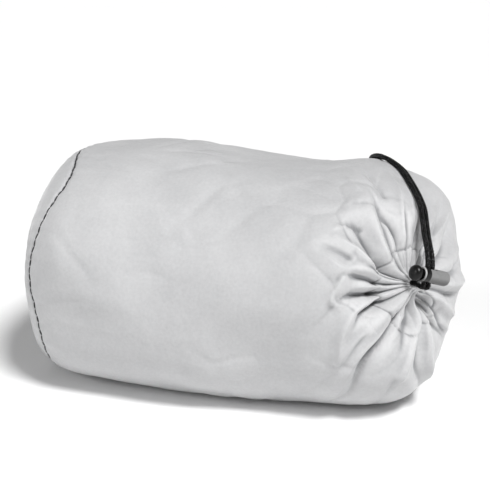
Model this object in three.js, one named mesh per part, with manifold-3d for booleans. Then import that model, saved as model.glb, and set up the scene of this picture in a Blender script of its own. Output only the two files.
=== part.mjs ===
// An emergency sleeping bag packed in its drawstring sack, which lies on its side.
// Millimetres, +Z up. The origin is the middle of the patch that the sack rests on.
// X runs along the sack, from the round end panel at -X to the gathered end at +X.
// The drawn-in mouth sits on the near shoulder of that end and looks towards +X and -Y.
import * as THREE from 'three';
import { mergeVertices } from 'three/addons/utils/BufferGeometryUtils.js';
import Module from 'manifold-3d';

const wasm = await Module();
wasm.setup();
const gap = 0.35;              // left along X between the side cloth and the end panel

// Sack
const shoulderX = -90;         // where the end panel's dome begins
const seamX = -85;             // mean place of the seam between side cloth and end panel
const rimX = 46;               // where the straight side ends and the gathered end begins
const endLength = 60.5;        // how far the gathered end reaches past rimX
const axisHeight = 48;         // height of the widest level
const floorSag = 4;            // how far the full section would reach below the floor, where it is flat
const backFullness = 0.9;      // added to the sections' exponent of 2 at the upper back
const columns = 112;           // points around the sack
const sideRings = 11;
const endRings = 26;
// floor is what is added to the exponent towards the floor, where the sack spreads
const sections = [
  { x: -90, middle: 6.5, half: 61, top: 100, floor: 0.45 },
  { x: -86, middle: 5, half: 64, top: 103.5, floor: 0.5 },
  { x: -79, middle: 3, half: 68.5, top: 106.5, floor: 0.6 },
  { x: -66, middle: 1, half: 72, top: 108, floor: 0.85 },
  { x: -40, middle: 0, half: 73.5, top: 107.5, floor: 1 },
  { x: 0, middle: 0, half: 73.5, top: 104.5, floor: 1 },
  { x: 46, middle: 0.5, half: 73.5, top: 103, floor: 1 },
];

// End panel
const panelBulge = 18.2;
const panelRings = 6;
const panelShoulderRings = 3;
// Where the seam wanders off its mean place, by degrees around the sack: 0 at the back, 90 on top
const seamWaves = [
  { turn: 123, width: 22, shift: 10.5 },
  { turn: 171, width: 14, shift: -3 },
  { turn: 208, width: 22, shift: 4 },
];

// Mouth and pleats. Headings are degrees around the mouth: 0 to the right, 90 up.
// Distances are millimetres from the mouth over the cloth.
const mouthDirection = new THREE.Vector3(0.69, -0.667, 0.29).normalize();
const clothRadius = 60;        // turns an angle on the gathered end into a distance
const mouthRadius = 2.3;       // what the drawn cord leaves open
const pitDepth = 5;
const pitRadius = 1.9;
const casingPuff = 1.4;        // how far the bunched casing stands up around the mouth
const casingWidth = 17;
const pleatShare = 0.12;       // half width of a pleat's valley for each mm from the mouth
const pleatSteepness = 1.7;    // greatest depth for each mm of that half width
const folds = [
  { at: 6, end: 8, reach: 38, depth: 2.6, width: 3.0 },
  { at: 24, end: 27, reach: 70, depth: 3.0, width: 4.5 },
  { at: 44, end: 38, reach: 46, depth: 2.6, width: 3.5 },
  { at: 58, end: 55, reach: 44, depth: 2.4, width: 3.0 },
  { at: 69, end: 70, reach: 50, depth: 2.8, width: 3.0 },
  { at: 80, end: 89, reach: 58, depth: 3.2, width: 3.5 },
  { at: 94, end: 91, reach: 34, depth: 2.2, width: 2.4 },
  { at: 109, end: 105, reach: 26, depth: 2.0, width: 2.2 },
  { at: 128, end: 118, reach: 36, depth: 6.0, width: 4.0 },
  { at: 160, end: 156, reach: 30, depth: 3.2, width: 3.0 },
  { at: 184, end: 188, reach: 27, depth: 2.8, width: 2.6 },
  { at: 208, end: 213, reach: 33, depth: 5.0, width: 3.4 },
  { at: 243, end: 240, reach: 88, depth: 4.6, width: 4.2 },
  { at: 258, end: 268, reach: 40, depth: 3.0, width: 2.8 },
  { at: 275, end: 262, reach: 66, depth: 3.6, width: 4.0 },
  { at: 292, end: 276, reach: 40, depth: 2.6, width: 2.8 },
  { at: 308, end: 290, reach: 56, depth: 3.4, width: 3.6 },
  { at: 325, end: 311, reach: 50, depth: 3.2, width: 3.4 },
  { at: 347, end: 352, reach: 56, depth: 3.2, width: 3.6 },
];
// Crests of cloth that stand up between the pleats, further out
const crests = [
  { at: 146, end: 131, start: 12, reach: 58, height: 2.6, width: 4.5 },
  { at: 196, end: 183, start: 16, reach: 40, height: 2.2, width: 6.0 },
  { at: 172, end: 166, start: 20, reach: 44, height: 1.6, width: 5.0 },
  { at: 224, end: 226, start: 14, reach: 56, height: 2.4, width: 7.0 },
  { at: 252, end: 252, start: 22, reach: 80, height: 1.8, width: 7.0 },
  { at: 285, end: 277, start: 20, reach: 84, height: 2.2, width: 7.0 },
  { at: 98, end: 99, start: 16, reach: 80, height: 2.0, width: 8.0 },
  { at: 62, end: 62, start: 18, reach: 76, height: 2.2, width: 7.0 },
  { at: 32, end: 33, start: 18, reach: 96, height: 2.4, width: 8.0 },
  { at: 335, end: 332, start: 14, reach: 72, height: 4.0, width: 6.0 },
  { at: 316, end: 302, start: 20, reach: 80, height: 2.0, width: 7.0 },
];
// Puffed fold of the casing below the lock, where the strands come out of the cloth:
// long along the lock, narrow across it
const exitFold = {
  centre: new THREE.Vector3(93.14, -44.15, 59.5),
  down: new THREE.Vector3(0.056, -0.471, -0.88).normalize(),
  height: 5.2,
  long: 4,
  across: 1.9,
};
// Soft lumps of the packed bag under the cloth
const lumps = [
  { around: 2, along: 110, phase: 20, height: 0.8 },
  { around: 3, along: -95, phase: 130, height: 0.7 },
  { around: 5, along: 130, phase: 250, height: 0.5 },
  { around: 7, along: -70, phase: 70, height: 0.4 },
];

// Cord lock. Its own Y runs along the barrel, away from the button, and its Z along the cord's hole.
// Places along the barrel are measured from the middle of the pair of strands.
const lockCentre = new THREE.Vector3(96.3, -44.5, 65.9);
const lockAxis = new THREE.Vector3(0.683, 0.661, -0.311).normalize();
const lockHole = new THREE.Vector3(0.172, 0.268, 0.948);
const lockSides = 28;
const barrel = { radius: 3.3, bore: 2.5, mouth: -4, boreEnd: 8.6, end: 10.9 };
const barrelHole = { from: -2.9, to: 4.2 };
const button = { radius: 3.5, stem: 2.2, top: -9.5, shoulder: -6.2, stemEnd: 4.3 };
const buttonTravel = 1.9;
const holeWidth = 3.05;
const holeDepth = 9;           // of the cutter, past both walls

// Drawcord: two strands side by side, from the casing through the lock, over the top and down the back
const cordDiameter = 2.4;
const cordSides = 8;
const cordStepsPerRow = 2;
const strandOffset = 1.35;     // from the pair's middle line to each strand's own
const cordRoute = [
  { x: 95.6, y: -45.6, z: 62.1 },
  { x: 95.9, y: -45.1, z: 63.9 },
  { x: 96.3, y: -44.5, z: 65.9 },
  { x: 96.7, y: -43.9, z: 68.0 },
  { x: 96.9, y: -43.1, z: 70.2 },
  { x: 96.5, y: -41.3, z: 73.0 },
  { x: 95.8, y: -38.6, z: 75.3 },
  { x: 94.6, y: -34.3, z: 77.7 },
  { x: 93.2, y: -28.5, z: 80.4 },
  { x: 91.6, y: -21.2, z: 83.9 },
  { x: 89.6, y: -12.3, z: 87.9 },
  { x: 86.1, y: -1.5, z: 91.2 },
  { x: 81.1, y: 9.5, z: 95.3 },
  { x: 75.2, y: 20.0, z: 99.3 },
  { x: 66.0, y: 33.0, z: 101.7 },
  { x: 59.0, y: 46.5, z: 99.3 },
  { x: 55.8, y: 57.7, z: 93.4 },
  { x: 54.3, y: 68.0, z: 82.8 },
  { x: 54.0, y: 73.6, z: 68.5 },
  { x: 54.2, y: 76.6, z: 53.0 },
];
const turnStart = 0.14;        // along the route, where the strands begin to lie flat on the cloth
const turnEnd = 0.27;

// Knot that joins the strands' ends, with the two cut ends below it
const knotCentre = new THREE.Vector3(54.2, 77.6, 47.6);
const knotHalf = new THREE.Vector3(5.2, 3.7, 4.9);
const knotTail = { length: 7, spread: 14, offset: 1.5 };

const degree = Math.PI / 180;
const smooth = (v) => THREE.MathUtils.smoothstep(v, 0, 1);
const mouthRight = new THREE.Vector3(0, 0, 1).cross(mouthDirection).normalize();
const mouthUp = mouthDirection.clone().cross(mouthRight);

// A section's measure at x, on a smooth curve through the rows
function measure(key, x) {
  const last = sections.length - 1;
  const next = sections.findIndex((row) => row.x >= x);
  if (next < 0) return sections[last][key];
  if (next === 0) return sections[0][key];
  const slope = (i) => {
    const [a, b] = [sections[Math.max(i - 1, 0)], sections[Math.min(i + 1, last)]];
    return i === last ? 0 : (b[key] - a[key]) / (b.x - a.x);
  };
  const [from, to] = [sections[next - 1], sections[next]];
  const span = to.x - from.x;
  const t = (x - from.x) / span;
  return from[key] * (1 + 2 * t) * (1 - t) ** 2 + to[key] * t * t * (3 - 2 * t)
    + span * (slope(next - 1) * t * (1 - t) ** 2 - slope(next) * t * t * (1 - t));
}

// How square the section is in a direction: round in front and on top, fuller at the back and floor
function exponent(x, d) {
  return 2 + backFullness * smooth(2 * d.y) * smooth(2 * d.z) + measure('floor', x) * smooth(-2 * d.z);
}

// The cloth before its folds, from the point x of the axis in the direction d
function baseCloth(x, d) {
  const n = exponent(x, d);
  const share = (Math.abs(d.x) ** n + Math.abs(d.y) ** n + Math.abs(d.z) ** n) ** (-1 / n);
  const half = measure('half', x);
  const rise = d.z > 0 ? measure('top', x) - axisHeight : axisHeight + floorSag;
  const point = new THREE.Vector3(
    x + endLength * d.x * share,
    measure('middle', x) + half * d.y * share,
    axisHeight + rise * d.z * share,
  );
  const outward = new THREE.Vector3(d.x / endLength, d.y / half, d.z / rise).normalize();
  return { point, outward };
}

// Heading of a direction around the mouth in degrees, and distance from it in mm
function polar(d) {
  const heading = Math.atan2(d.dot(mouthUp), d.dot(mouthRight)) / degree;
  const angle = Math.acos(THREE.MathUtils.clamp(d.dot(mouthDirection), -1, 1));
  return { heading: (heading + 360) % 360, angle };
}

// Sideways distance in mm from a fold's line, whose heading drifts from at to end
function sideways(row, heading, distance, angle) {
  const line = row.at + (row.end - row.at) * Math.min(distance / clothRadius, 1.5);
  const off = THREE.MathUtils.euclideanModulo(heading - line + 180, 360) - 180;
  return clothRadius * Math.sin(Math.min(angle, Math.PI / 2)) * off * degree;
}

function foldHeight(heading, distance, angle) {
  let height = 0;
  for (const row of folds) {
    const width = Math.min(row.width, pleatShare * distance);
    const depth = Math.min(row.depth, pleatSteepness * width);
    const fade = 1 - smooth((distance / row.reach - 0.35) / 0.65);
    const off = Math.abs(sideways(row, heading, distance, angle)) / width;
    height -= depth * fade * Math.exp(-(off ** 1.5));
  }
  for (const row of crests) {
    const rise = smooth((distance - row.start * 0.5) / row.start);
    const fade = 1 - smooth((distance / row.reach - 0.3) / 0.7);
    const off = sideways(row, heading, distance, angle) / row.width;
    height += row.height * rise * fade * Math.exp(-off * off);
  }
  const casing = Math.sin(Math.PI * THREE.MathUtils.clamp((distance - mouthRadius) / casingWidth, 0, 1));
  return height + casingPuff * casing;
}

// Low unevenness of the packed sack, by the angle around it and the place along it
function lumpHeight(turn, x) {
  let height = 0;
  for (const { around, along, phase, height: size } of lumps) {
    height += size * Math.sin(around * turn + (360 * degree * x) / along + phase * degree);
  }
  return height;
}

function settle(point) {
  point.z = Math.max(0, point.z);
  return point;
}

function ring(place) {
  return Array.from({ length: columns }, (_, i) => place((360 * degree * i) / columns));
}

const rimDirection = (turn) => new THREE.Vector3(0, Math.cos(turn), Math.sin(turn));

function sidePoint(x, turn) {
  const d = rimDirection(turn);
  const { heading, angle } = polar(d);
  const distance = clothRadius * angle + (rimX - x);
  const { point, outward } = baseCloth(x, d);
  const calm = smooth((x - shoulderX) / 25);
  const height = calm * (foldHeight(heading, distance, angle) + lumpHeight(turn, x));
  return settle(point.addScaledVector(outward, height));
}

function seamPlace(turn) {
  return seamWaves.reduce((x, row) => {
    const off = THREE.MathUtils.euclideanModulo(turn / degree - row.turn + 180, 360) - 180;
    return x + row.shift * Math.exp(-((off / row.width) ** 2));
  }, seamX);
}

function exitShare(point) {
  const from = point.clone().sub(exitFold.centre);
  const [long, across] = [from.dot(lockAxis) / exitFold.long, from.dot(exitFold.down) / exitFold.across];
  return Math.exp(-(long ** 2) - across ** 2);
}

// share runs from 1 at the rim to 0 at the mouth
function endPoint(turn, share) {
  const rim = rimDirection(turn);
  const rimAngle = polar(rim).angle;
  const lip = mouthRadius / clothRadius;
  const angle = lip + (rimAngle - lip) * share ** 1.5;
  const away = rim.clone().addScaledVector(mouthDirection, -rim.dot(mouthDirection)).normalize();
  const d = mouthDirection.clone().multiplyScalar(Math.cos(angle)).addScaledVector(away, Math.sin(angle));
  const { point, outward } = baseCloth(rimX, d);
  const distance = clothRadius * angle;
  const calm = smooth((distance - mouthRadius) / 12);
  const exit = exitShare(point);
  const height = (1 - exit) * foldHeight(polar(d).heading, distance, angle) + exitFold.height * exit
    + calm * lumpHeight(turn, point.x);
  const open = smooth((distance - mouthRadius) / 3);
  return settle(point.addScaledVector(outward, height * open));
}

const mouth = baseCloth(rimX, mouthDirection);

// A ring of the pit where the cord comes out, at a depth below the mouth
function pitPoint(turn, depth, radius) {
  const lip = endPoint(turn, 0).sub(mouth.point);
  lip.addScaledVector(mouth.outward, -lip.dot(mouth.outward));
  lip.setLength(radius);
  return lip.add(mouth.point).addScaledVector(mouth.outward, -depth);
}

// A closed body through rings of equal length, with a fan to a point at both ends
function bodyFromRings(rings, firstPole, lastPole) {
  const count = rings[0].length;
  const points = [...rings.flat(), firstPole, lastPole];
  const faces = [];
  for (let r = 0; r < rings.length - 1; r++) {
    for (let i = 0; i < count; i++) {
      const a = r * count + i;
      const b = r * count + ((i + 1) % count);
      faces.push(a, b, a + count, b, b + count, a + count);
    }
  }
  const [first, last] = [points.length - 2, points.length - 1];
  const lastRing = (rings.length - 1) * count;
  for (let i = 0; i < count; i++) {
    const next = (i + 1) % count;
    faces.push(first, next, i, last, lastRing + i, lastRing + next);
  }
  const geometry = new THREE.BufferGeometry().setFromPoints(points);
  geometry.setIndex(faces);
  return geometry;
}

function sackGeometry() {
  const rings = [];
  for (let r = 0; r < sideRings; r++) {
    const along = (r / sideRings) ** 1.35;
    rings.push(ring((turn) => sidePoint(THREE.MathUtils.lerp(seamPlace(turn), rimX, along), turn)));
  }
  for (let r = 0; r <= endRings; r++) rings.push(ring((turn) => endPoint(turn, 1 - r / endRings)));
  rings.push(ring((turn) => pitPoint(turn, pitDepth * 0.4, pitRadius + 0.2)));
  rings.push(ring((turn) => pitPoint(turn, pitDepth, pitRadius)));
  const seamMiddle = new THREE.Vector3(seamX, measure('middle', seamX), axisHeight);
  const pitFloor = mouth.point.clone().addScaledVector(mouth.outward, -pitDepth);
  return bodyFromRings(rings, seamMiddle, pitFloor);
}

// The round end panel: a dome, and the shoulder from there to the seam
function panelGeometry() {
  const middle = new THREE.Vector3(shoulderX, measure('middle', shoulderX), axisHeight);
  const rings = [];
  for (let r = panelRings - 1; r >= 0; r--) {
    const share = Math.cos((90 * degree * r) / panelRings);
    const bulge = panelBulge * (1 - share ** 2.2);
    rings.push(ring((turn) => {
      const point = middle.clone().lerp(sidePoint(shoulderX, turn), share);
      return point.setX(shoulderX - bulge);
    }));
  }
  for (let r = 1; r <= panelShoulderRings; r++) {
    rings.push(ring((turn) => {
      const x = THREE.MathUtils.lerp(shoulderX, seamPlace(turn) - gap, r / panelShoulderRings);
      return sidePoint(x, turn);
    }));
  }
  const seamMiddle = new THREE.Vector3(seamX - gap, measure('middle', seamX), axisHeight);
  return bodyFromRings(rings, middle.clone().setX(shoulderX - panelBulge), seamMiddle);
}

// Manifold solids for cutting, and back again
function toSolid(geometry) {
  const bare = geometry.clone();
  for (const name of Object.keys(bare.attributes)) {
    if (name !== 'position') bare.deleteAttribute(name);
  }
  const merged = mergeVertices(bare, 1e-4);
  return new wasm.Manifold(new wasm.Mesh({
    numProp: 3,
    vertProperties: Float32Array.from(merged.attributes.position.array),
    triVerts: Uint32Array.from(merged.index.array),
  }));
}

function toGeometry(solid) {
  const { vertProperties, triVerts } = solid.getMesh();
  const geometry = new THREE.BufferGeometry();
  geometry.setAttribute('position', new THREE.BufferAttribute(vertProperties, 3));
  geometry.setIndex(new THREE.BufferAttribute(triVerts, 1));
  return geometry;
}

// A turned body from [radius, place] pairs that start and end on the axis
function turned(profile) {
  return new THREE.LatheGeometry(profile.map(([r, y]) => new THREE.Vector2(r, y)), lockSides);
}

// Cutter for a slot with round ends, along the cord's hole
function slotCutter(from, to) {
  const r = holeWidth / 2;
  const outline = new THREE.Shape();
  outline.absarc(0, to - r, r, 0, 180 * degree);
  outline.absarc(0, from + r, r, 180 * degree, 360 * degree);
  return new THREE.ExtrudeGeometry(outline, { depth: holeDepth, bevelEnabled: false, curveSegments: 6 })
    .translate(0, 0, -holeDepth / 2);
}

function barrelGeometry() {
  const { radius, bore, mouth: rim, boreEnd, end } = barrel;
  const body = turned([
    [0, boreEnd], [bore, boreEnd], [bore, rim], [radius - 0.25, rim], [radius, rim + 0.25],
    [radius, end - 1], [radius - 0.4, end - 0.3], [radius - 1.1, end], [0, end],
  ]);
  return toGeometry(toSolid(body).subtract(toSolid(slotCutter(barrelHole.from, barrelHole.to))));
}

// The slot in the stem is longer by the travel, so that the strands stay clear of it when pressed
function buttonGeometry() {
  const { radius, stem, top, shoulder, stemEnd } = button;
  const body = turned([
    [0, top], [radius * 0.45, top + 0.15], [radius * 0.8, top + 0.7], [radius * 0.97, top + 1.5],
    [radius, top + 2.3], [radius, shoulder - 0.3], [radius - 0.3, shoulder], [stem, shoulder],
    [stem, stemEnd], [0, stemEnd],
  ]);
  const slot = slotCutter(barrelHole.from - buttonTravel, -barrelHole.from);
  return toGeometry(toSolid(body).subtract(toSolid(slot)));
}

const cordLine = new THREE.CatmullRomCurve3(
  cordRoute.map(({ x, y, z }) => new THREE.Vector3(x, y, z)), false, 'catmullrom', 0.5,
);
const endCentre = new THREE.Vector3(rimX, 0, axisHeight);
const endScale = new THREE.Vector3(endLength, sections.at(-1).half, sections.at(-1).top - axisHeight);

// One strand beside the pair's middle line: abreast along the lock's axis in the lock,
// and flat on the cloth further on. It is stepped by the route's rows, which stand closer in the lock.
class Strand extends THREE.Curve {
  constructor(side) {
    super();
    this.side = side;
  }

  getPoint(t, target = new THREE.Vector3()) {
    const middle = cordLine.getPoint(t);
    const along = cordLine.getTangent(t);
    const outward = middle.clone().sub(endCentre).divide(endScale).divide(endScale).normalize();
    const flat = THREE.MathUtils.clamp((t - turnStart) / (turnEnd - turnStart), 0, 1);
    const abreast = lockAxis.clone().lerp(along.clone().cross(outward), flat);
    abreast.addScaledVector(along, -abreast.dot(along)).setLength(this.side * strandOffset);
    return target.copy(middle).add(abreast);
  }

  getPointAt(u, target) {
    return this.getPoint(u, target);
  }

  getTangentAt(u, target) {
    return this.getTangent(u, target);
  }
}

function strandGeometry(side) {
  const section = new THREE.Shape();
  for (let i = 0; i < cordSides; i++) {
    const turn = (360 * degree * (i + 0.5)) / cordSides;
    const [x, y] = [Math.cos(turn) * cordDiameter / 2, Math.sin(turn) * cordDiameter / 2];
    if (i === 0) section.moveTo(x, y);
    else section.lineTo(x, y);
  }
  const steps = (cordRoute.length - 1) * cordStepsPerRow;
  return new THREE.ExtrudeGeometry(section, { steps, extrudePath: new Strand(side) });
}

function knotGeometry() {
  const lump = new THREE.SphereGeometry(1, 24, 16);
  const at = lump.attributes.position;
  const point = new THREE.Vector3();
  for (let i = 0; i < at.count; i++) {
    point.fromBufferAttribute(at, i);
    const round = Math.hypot(point.x, point.z);
    const turn = Math.atan2(point.x, point.z);
    const twist = 1 + 0.1 * round * Math.cos(3 * turn + 2.2 * point.y) - 0.05;
    point.multiplyScalar(twist).multiply(knotHalf);
    at.setXYZ(i, point.x, point.y, point.z);
  }
  let knot = toSolid(lump);
  for (const side of [-1, 1]) {
    const tail = new THREE.CylinderGeometry(cordDiameter / 2, cordDiameter / 2, knotTail.length, cordSides);
    tail.translate(0, -knotTail.length / 2 - knotHalf.z * 0.6, 0);
    tail.rotateX(90 * degree).rotateY(-side * knotTail.spread * degree);
    tail.translate(side * knotTail.offset, 0, 0);
    knot = knot.add(toSolid(tail));
  }
  return toGeometry(knot);
}

const clothLook = new THREE.MeshStandardMaterial({ color: 0xd6d6d4, roughness: 0.6, metalness: 0 });

const cordLook = new THREE.MeshStandardMaterial({ color: 0x101011, roughness: 0.75, metalness: 0 });
const lockLook = new THREE.MeshStandardMaterial({ color: 0x161617, roughness: 0.3, metalness: 0 });

const part = new THREE.Group();
const lock = new THREE.Group();
lock.position.copy(lockCentre);
lock.quaternion.setFromRotationMatrix(new THREE.Matrix4().makeBasis(
  lockAxis.clone().cross(lockHole).normalize(),
  lockAxis,
  lockAxis.clone().cross(lockHole).cross(lockAxis).normalize(),
));
part.add(lock);

function addPiece(group, name, geometry, look) {
  const piece = new THREE.Mesh(geometry, look);
  piece.name = name;
  group.add(piece);
  return piece;
}

addPiece(part, 'sack_body', sackGeometry(), clothLook);
addPiece(part, 'end_panel', panelGeometry(), clothLook);
addPiece(part, 'drawcord_a', strandGeometry(-1), cordLook);
addPiece(part, 'drawcord_b', strandGeometry(1), cordLook);
addPiece(part, 'cord_knot', knotGeometry(), cordLook).position.copy(knotCentre);
addPiece(lock, 'lock_barrel', barrelGeometry(), lockLook);
addPiece(lock, 'lock_button', buttonGeometry(), lockLook);

export default part;
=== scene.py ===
# An emergency sleeping bag packed in its drawstring sack, dressed over its solids.
# Shapes are worked out in millimetres and written to the meshes in metres.
import math
import bmesh
import bpy
import numpy as np
from mathutils import Matrix, Vector, noise


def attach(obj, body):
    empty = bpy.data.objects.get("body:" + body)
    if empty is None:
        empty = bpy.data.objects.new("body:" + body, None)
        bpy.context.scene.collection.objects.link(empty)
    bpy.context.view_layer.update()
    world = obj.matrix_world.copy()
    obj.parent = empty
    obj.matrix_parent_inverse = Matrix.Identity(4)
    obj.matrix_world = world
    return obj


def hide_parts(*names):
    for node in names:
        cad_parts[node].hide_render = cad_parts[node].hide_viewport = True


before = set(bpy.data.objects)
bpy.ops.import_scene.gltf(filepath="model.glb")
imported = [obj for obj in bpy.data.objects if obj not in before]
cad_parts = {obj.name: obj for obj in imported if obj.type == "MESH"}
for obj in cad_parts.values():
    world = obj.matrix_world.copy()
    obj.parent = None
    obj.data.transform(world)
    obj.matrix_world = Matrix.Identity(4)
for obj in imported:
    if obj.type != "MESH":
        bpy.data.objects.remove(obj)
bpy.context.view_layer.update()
mm = 0.001
scene = bpy.context.scene
scene.view_settings.view_transform = "Standard"

# The camera stands where the photograph was taken from
view = {"location": (0.1349, -0.4915, 0.2022), "tilt": 74.48, "turn": 15.12, "lens": 78.28}

cameraData = bpy.data.cameras.new("camera")
cameraData.lens = view["lens"]
cameraData.sensor_width = 36
cameraData.clip_start = 0.01
camera = bpy.data.objects.new("camera", cameraData)
camera.location = view["location"]
camera.rotation_euler = (math.radians(view["tilt"]), 0, math.radians(view["turn"]))
scene.collection.objects.link(camera)
scene.camera = camera
print("camera placed")


def smooth(v):
    v = np.clip(v, 0, 1)
    return v * v * (3 - 2 * v)


def unit(v):
    return v / np.maximum(np.linalg.norm(v, axis=-1, keepdims=True), 1e-12)


def wrapped(angle):  # degrees, to -180..180
    return (angle + 180) % 360 - 180


# A grid of cloth or cord, bent to rows of points in millimetres; equal neighbours are joined
def skin(points, hollowShades=None):
    rings, columns = points.shape[0] - 1, points.shape[1] - 1
    bm = bmesh.new()
    bm.loops.layers.uv.new("surface")
    bmesh.ops.create_grid(bm, x_segments=columns, y_segments=rings, size=0.5, calc_uvs=True)
    # The hollow layer holds how far the cloth lies below its neighbours, for painted shade and painted light
    layer = None if hollowShades is None else bm.verts.layers.float.new("hollowShade")
    for v in bm.verts:
        place = round((v.co.y + 0.5) * rings), round((v.co.x + 0.5) * columns)
        v.co = points[place] * mm
        if layer:
            v[layer] = hollowShades[place]
    bmesh.ops.remove_doubles(bm, verts=bm.verts[:], dist=1e-6)
    bmesh.ops.recalc_face_normals(bm, faces=bm.faces[:])
    return bm


def toMesh(bm, name):
    mesh = bpy.data.meshes.new(name)
    bm.to_mesh(mesh)
    bm.free()
    return mesh


def scaleUv(mesh, width, lengths):  # so that the map is in millimetres along the cloth
    layer = mesh.uv_layers[0].data
    uv = np.empty(len(layer) * 2)
    layer.foreach_get("uv", uv)
    uv[0::2] *= width
    uv[1::2] = np.interp(uv[1::2], np.linspace(0, 1, len(lengths)), lengths)
    layer.foreach_set("uv", uv)


def asPiece(mesh, material, body="sack"):
    mesh.materials.append(material)
    mesh.shade_smooth()
    piece = bpy.data.objects.new(mesh.name, mesh)
    scene.collection.objects.link(piece)
    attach(piece, body)
    return piece


class Finish:
    def __init__(self, name, **fixed):
        self.material = bpy.data.materials.new(name)
        self.material.use_nodes = True
        self.tree = self.material.node_tree
        self.shader = self.tree.nodes["Principled BSDF"]
        for socket, value in fixed.items():
            self.shader.inputs[socket.replace("_", " ")].default_value = value

    def node(self, kind, settings=None, **inputs):
        node = self.tree.nodes.new("ShaderNode" + kind)
        for key, value in (settings or {}).items():
            setattr(node, key, value)
        for key, value in inputs.items():
            socket = node.inputs[int(key[2:])] if key.startswith("at") else node.inputs[key]
            if isinstance(value, bpy.types.NodeSocket):
                self.tree.links.new(value, socket)
            else:
                socket.default_value = value
        return node.outputs

    def calc(self, operation, a, b=0.0, c=0.0):
        return self.node("Math", {"operation": operation}, at0=a, at1=b, at2=c)[0]

    def shades(self, factor, dark, light):
        ramp = self.node("Mix", {"data_type": "RGBA"}, at0=factor, at6=(*dark, 1), at7=(*light, 1))
        return ramp[2]

    def between(self, factor, low, high):
        return self.node("MapRange", at0=factor, at1=0.0, at2=1.0, at3=low, at4=high)[0]

    def join(self, output, name):
        self.tree.links.new(output, self.shader.inputs[name])


# Drawcord, in metres: the middle line of the pair of strands, row by row as the solids have it
cord = {
    "diameter": 0.0024, "offset": 0.00135, "flatFrom": 0.14, "flatTo": 0.27,
    "sides": 20, "rings": 620, "carriers": 4, "braidPitch": 3.4, "relief": 0.16,
    "crossing": 1.1, "valley": 0.6, "endShare": 0.75, "endTaper": 0.5, "startSide": (0.3, 0.2, 0.9),
    "route": [
        (0.0956, -0.0456, 0.0621), (0.0959, -0.0451, 0.0639),
        (0.0963, -0.0445, 0.0659), (0.0967, -0.0439, 0.0680),
        (0.0969, -0.0431, 0.0702), (0.0965, -0.0413, 0.0730), (0.0958, -0.0386, 0.0753),
        (0.0946, -0.0343, 0.0777), (0.0932, -0.0285, 0.0804), (0.0916, -0.0212, 0.0839),
        (0.0896, -0.0123, 0.0879), (0.0861, -0.0015, 0.0912), (0.0811, 0.0095, 0.0953),
        (0.0752, 0.0200, 0.0993), (0.0660, 0.0330, 0.1017), (0.0590, 0.0465, 0.0993),
        (0.0558, 0.0577, 0.0934), (0.0543, 0.0680, 0.0828), (0.0540, 0.0736, 0.0685),
        (0.0542, 0.0766, 0.0530),
    ],
}
lock = {
    "centre": (0.0963, -0.0445, 0.0659), "axis": (0.683, 0.661, -0.311), "hole": (0.172, 0.268, 0.948),
}
lockAxis = unit(np.array(lock["axis"]))
endMiddle = np.array((0.046, 0, 0.048))
endReach = np.array((0.0605, 0.0735, 0.055))


# A smooth curve through rows of points, t running from 0 to 1
def curvePoint(rows, t):
    rows = np.array(rows, dtype=float)
    rows = np.vstack([2 * rows[0] - rows[1], rows, 2 * rows[-1] - rows[-2]])
    place = np.clip(t, 0, 1) * (len(rows) - 3)
    i = np.minimum(place.astype(int), len(rows) - 4)
    w = (place - i)[:, None]
    a, b, c, d = (rows[i + k] for k in range(4))
    start, end = (c - a) / 2, (d - b) / 2
    return (2 * b - 2 * c + start + end) * w**3 + (3 * c - 3 * b - 2 * start - end) * w**2 + start * w + b


def routePoint(t):
    return curvePoint(cord["route"], t)


def strandLine(side, count):
    t = np.linspace(0, 1, count)
    middle = routePoint(t)
    along = unit(routePoint(t + 1e-4) - routePoint(t - 1e-4))
    outward = unit((middle - endMiddle) / endReach**2)
    flat = np.clip((t - cord["flatFrom"]) / (cord["flatTo"] - cord["flatFrom"]), 0, 1)[:, None]
    abreast = lockAxis * (1 - flat) + np.cross(along, outward) * flat
    abreast -= (abreast * along).sum(1, keepdims=True) * along
    return middle + unit(abreast) * side * cord["offset"]


# A braided tube around a line in metres, with its relief of crossing carriers
def braid(line, name, sides=cord["sides"]):
    steps = np.linalg.norm(np.diff(line, axis=0), axis=1)
    lengths = np.concatenate([[0], np.cumsum(steps)]) * 1000
    along = unit(np.gradient(line, axis=0))
    first = np.cross(along[0], cord["startSide"])
    sidewise = np.empty_like(line)
    for i, direction in enumerate(along):
        first = first - first.dot(direction) * direction
        first /= np.linalg.norm(first)
        sidewise[i] = first
    other = np.cross(along, sidewise)
    turn = np.linspace(0, 2 * np.pi, sides + 1)[None, :]
    carriers, run = cord["carriers"], 2 * np.pi * lengths[:, None] / cord["braidPitch"]
    weave = np.cos(carriers * turn / 2 + run) ** 2 * np.cos(carriers * turn / 2 - run) ** 2
    radius = cord["diameter"] / 2 * (1 + cord["relief"] * (cord["crossing"] * weave - cord["valley"]))
    end = np.minimum(lengths, lengths[-1] - lengths)[:, None]
    radius = radius * (cord["endShare"] + (1 - cord["endShare"]) * smooth(end / cord["endTaper"]))
    points = (line[:, None] + radius[..., None]
              * (np.cos(turn)[..., None] * sidewise[:, None] + np.sin(turn)[..., None] * other[:, None]))
    caps = [np.repeat(line[i][None, None], sides + 1, axis=1) for i in (0, -1)]
    mesh = toMesh(skin(np.concatenate([caps[0], points, caps[1]]) * 1000), name)
    scaleUv(mesh, 2 * np.pi * cord["diameter"] * 500, np.concatenate([[0], lengths, [lengths[-1]]]))
    return mesh


# The light flecks in the black braid's colour are painted glints
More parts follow.
